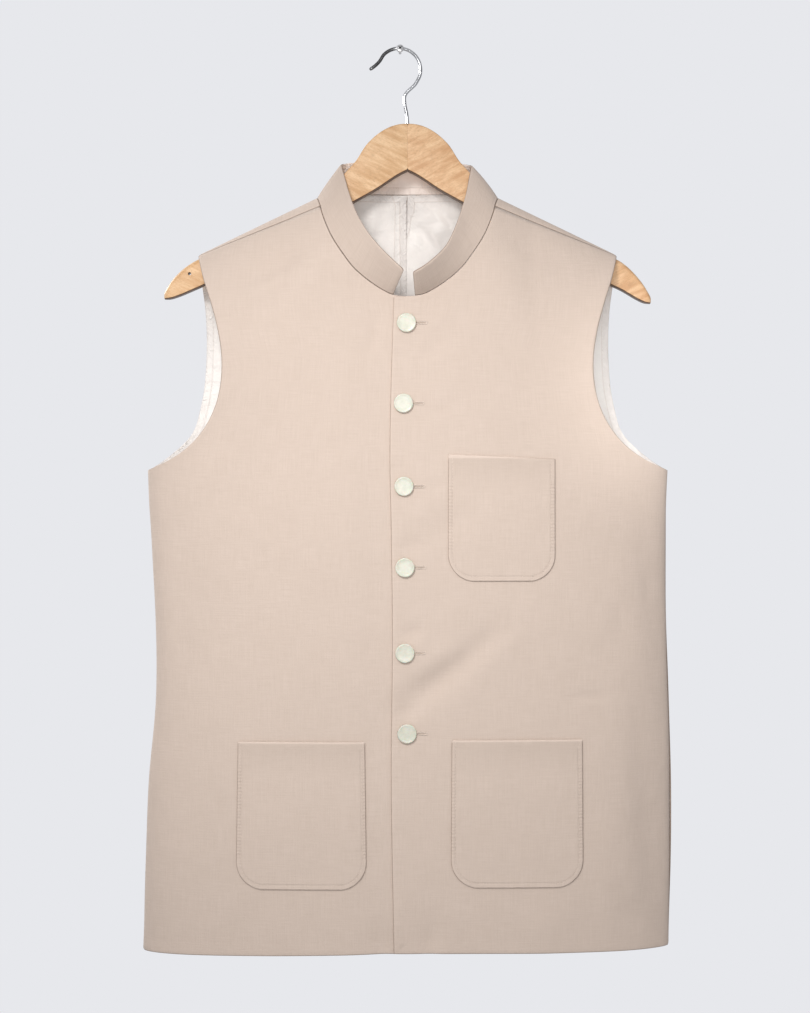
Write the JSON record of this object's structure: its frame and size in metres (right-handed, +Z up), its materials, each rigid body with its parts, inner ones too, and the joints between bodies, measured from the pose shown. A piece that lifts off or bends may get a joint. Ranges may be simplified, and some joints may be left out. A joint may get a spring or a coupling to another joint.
{
  "type": "sleeveless stand-collar waistcoat on a wooden hanger with a wall screw",
  "caption": "Buttoned sleeveless waistcoat with a stand collar and patch pockets, hung on a wooden hanger whose wire hook rests on a wall screw.",
  "frame": {"origin": "inside crown of the hanger's hook, where the wire bears on the wall screw", "axes": "+Z up along the hang of the cloth, -Y out of the garment's front, +X towards the wearer's left"},
  "size_m": [0.4908, 0.0979, 0.8388],
  "materials": {
    "suiting": "matte slubby suiting weave",
    "satin": "satin lining",
    "button": "semi-gloss",
    "wood": "clear satin lacquer",
    "chrome": "polished",
    "screw": "plain zinc"
  },
  "bodies": {
    "root": {"front_right": "suiting", "front_left": "suiting", "back": "suiting", "collar": "suiting", "lining_back_right": "satin", "lining_back_left": "satin", "pocket_breast": "suiting", "pocket_lower_right": "suiting", "pocket_lower_left": "suiting", "button_1": "button", "button_2": "button", "button_3": "button", "button_4": "button", "button_5": "button", "button_6": "button", "hanger_right": "wood", "hanger_left": "wood", "hanger_hook": "chrome", "wall_screw": "screw"}
  },
  "joints": []
}
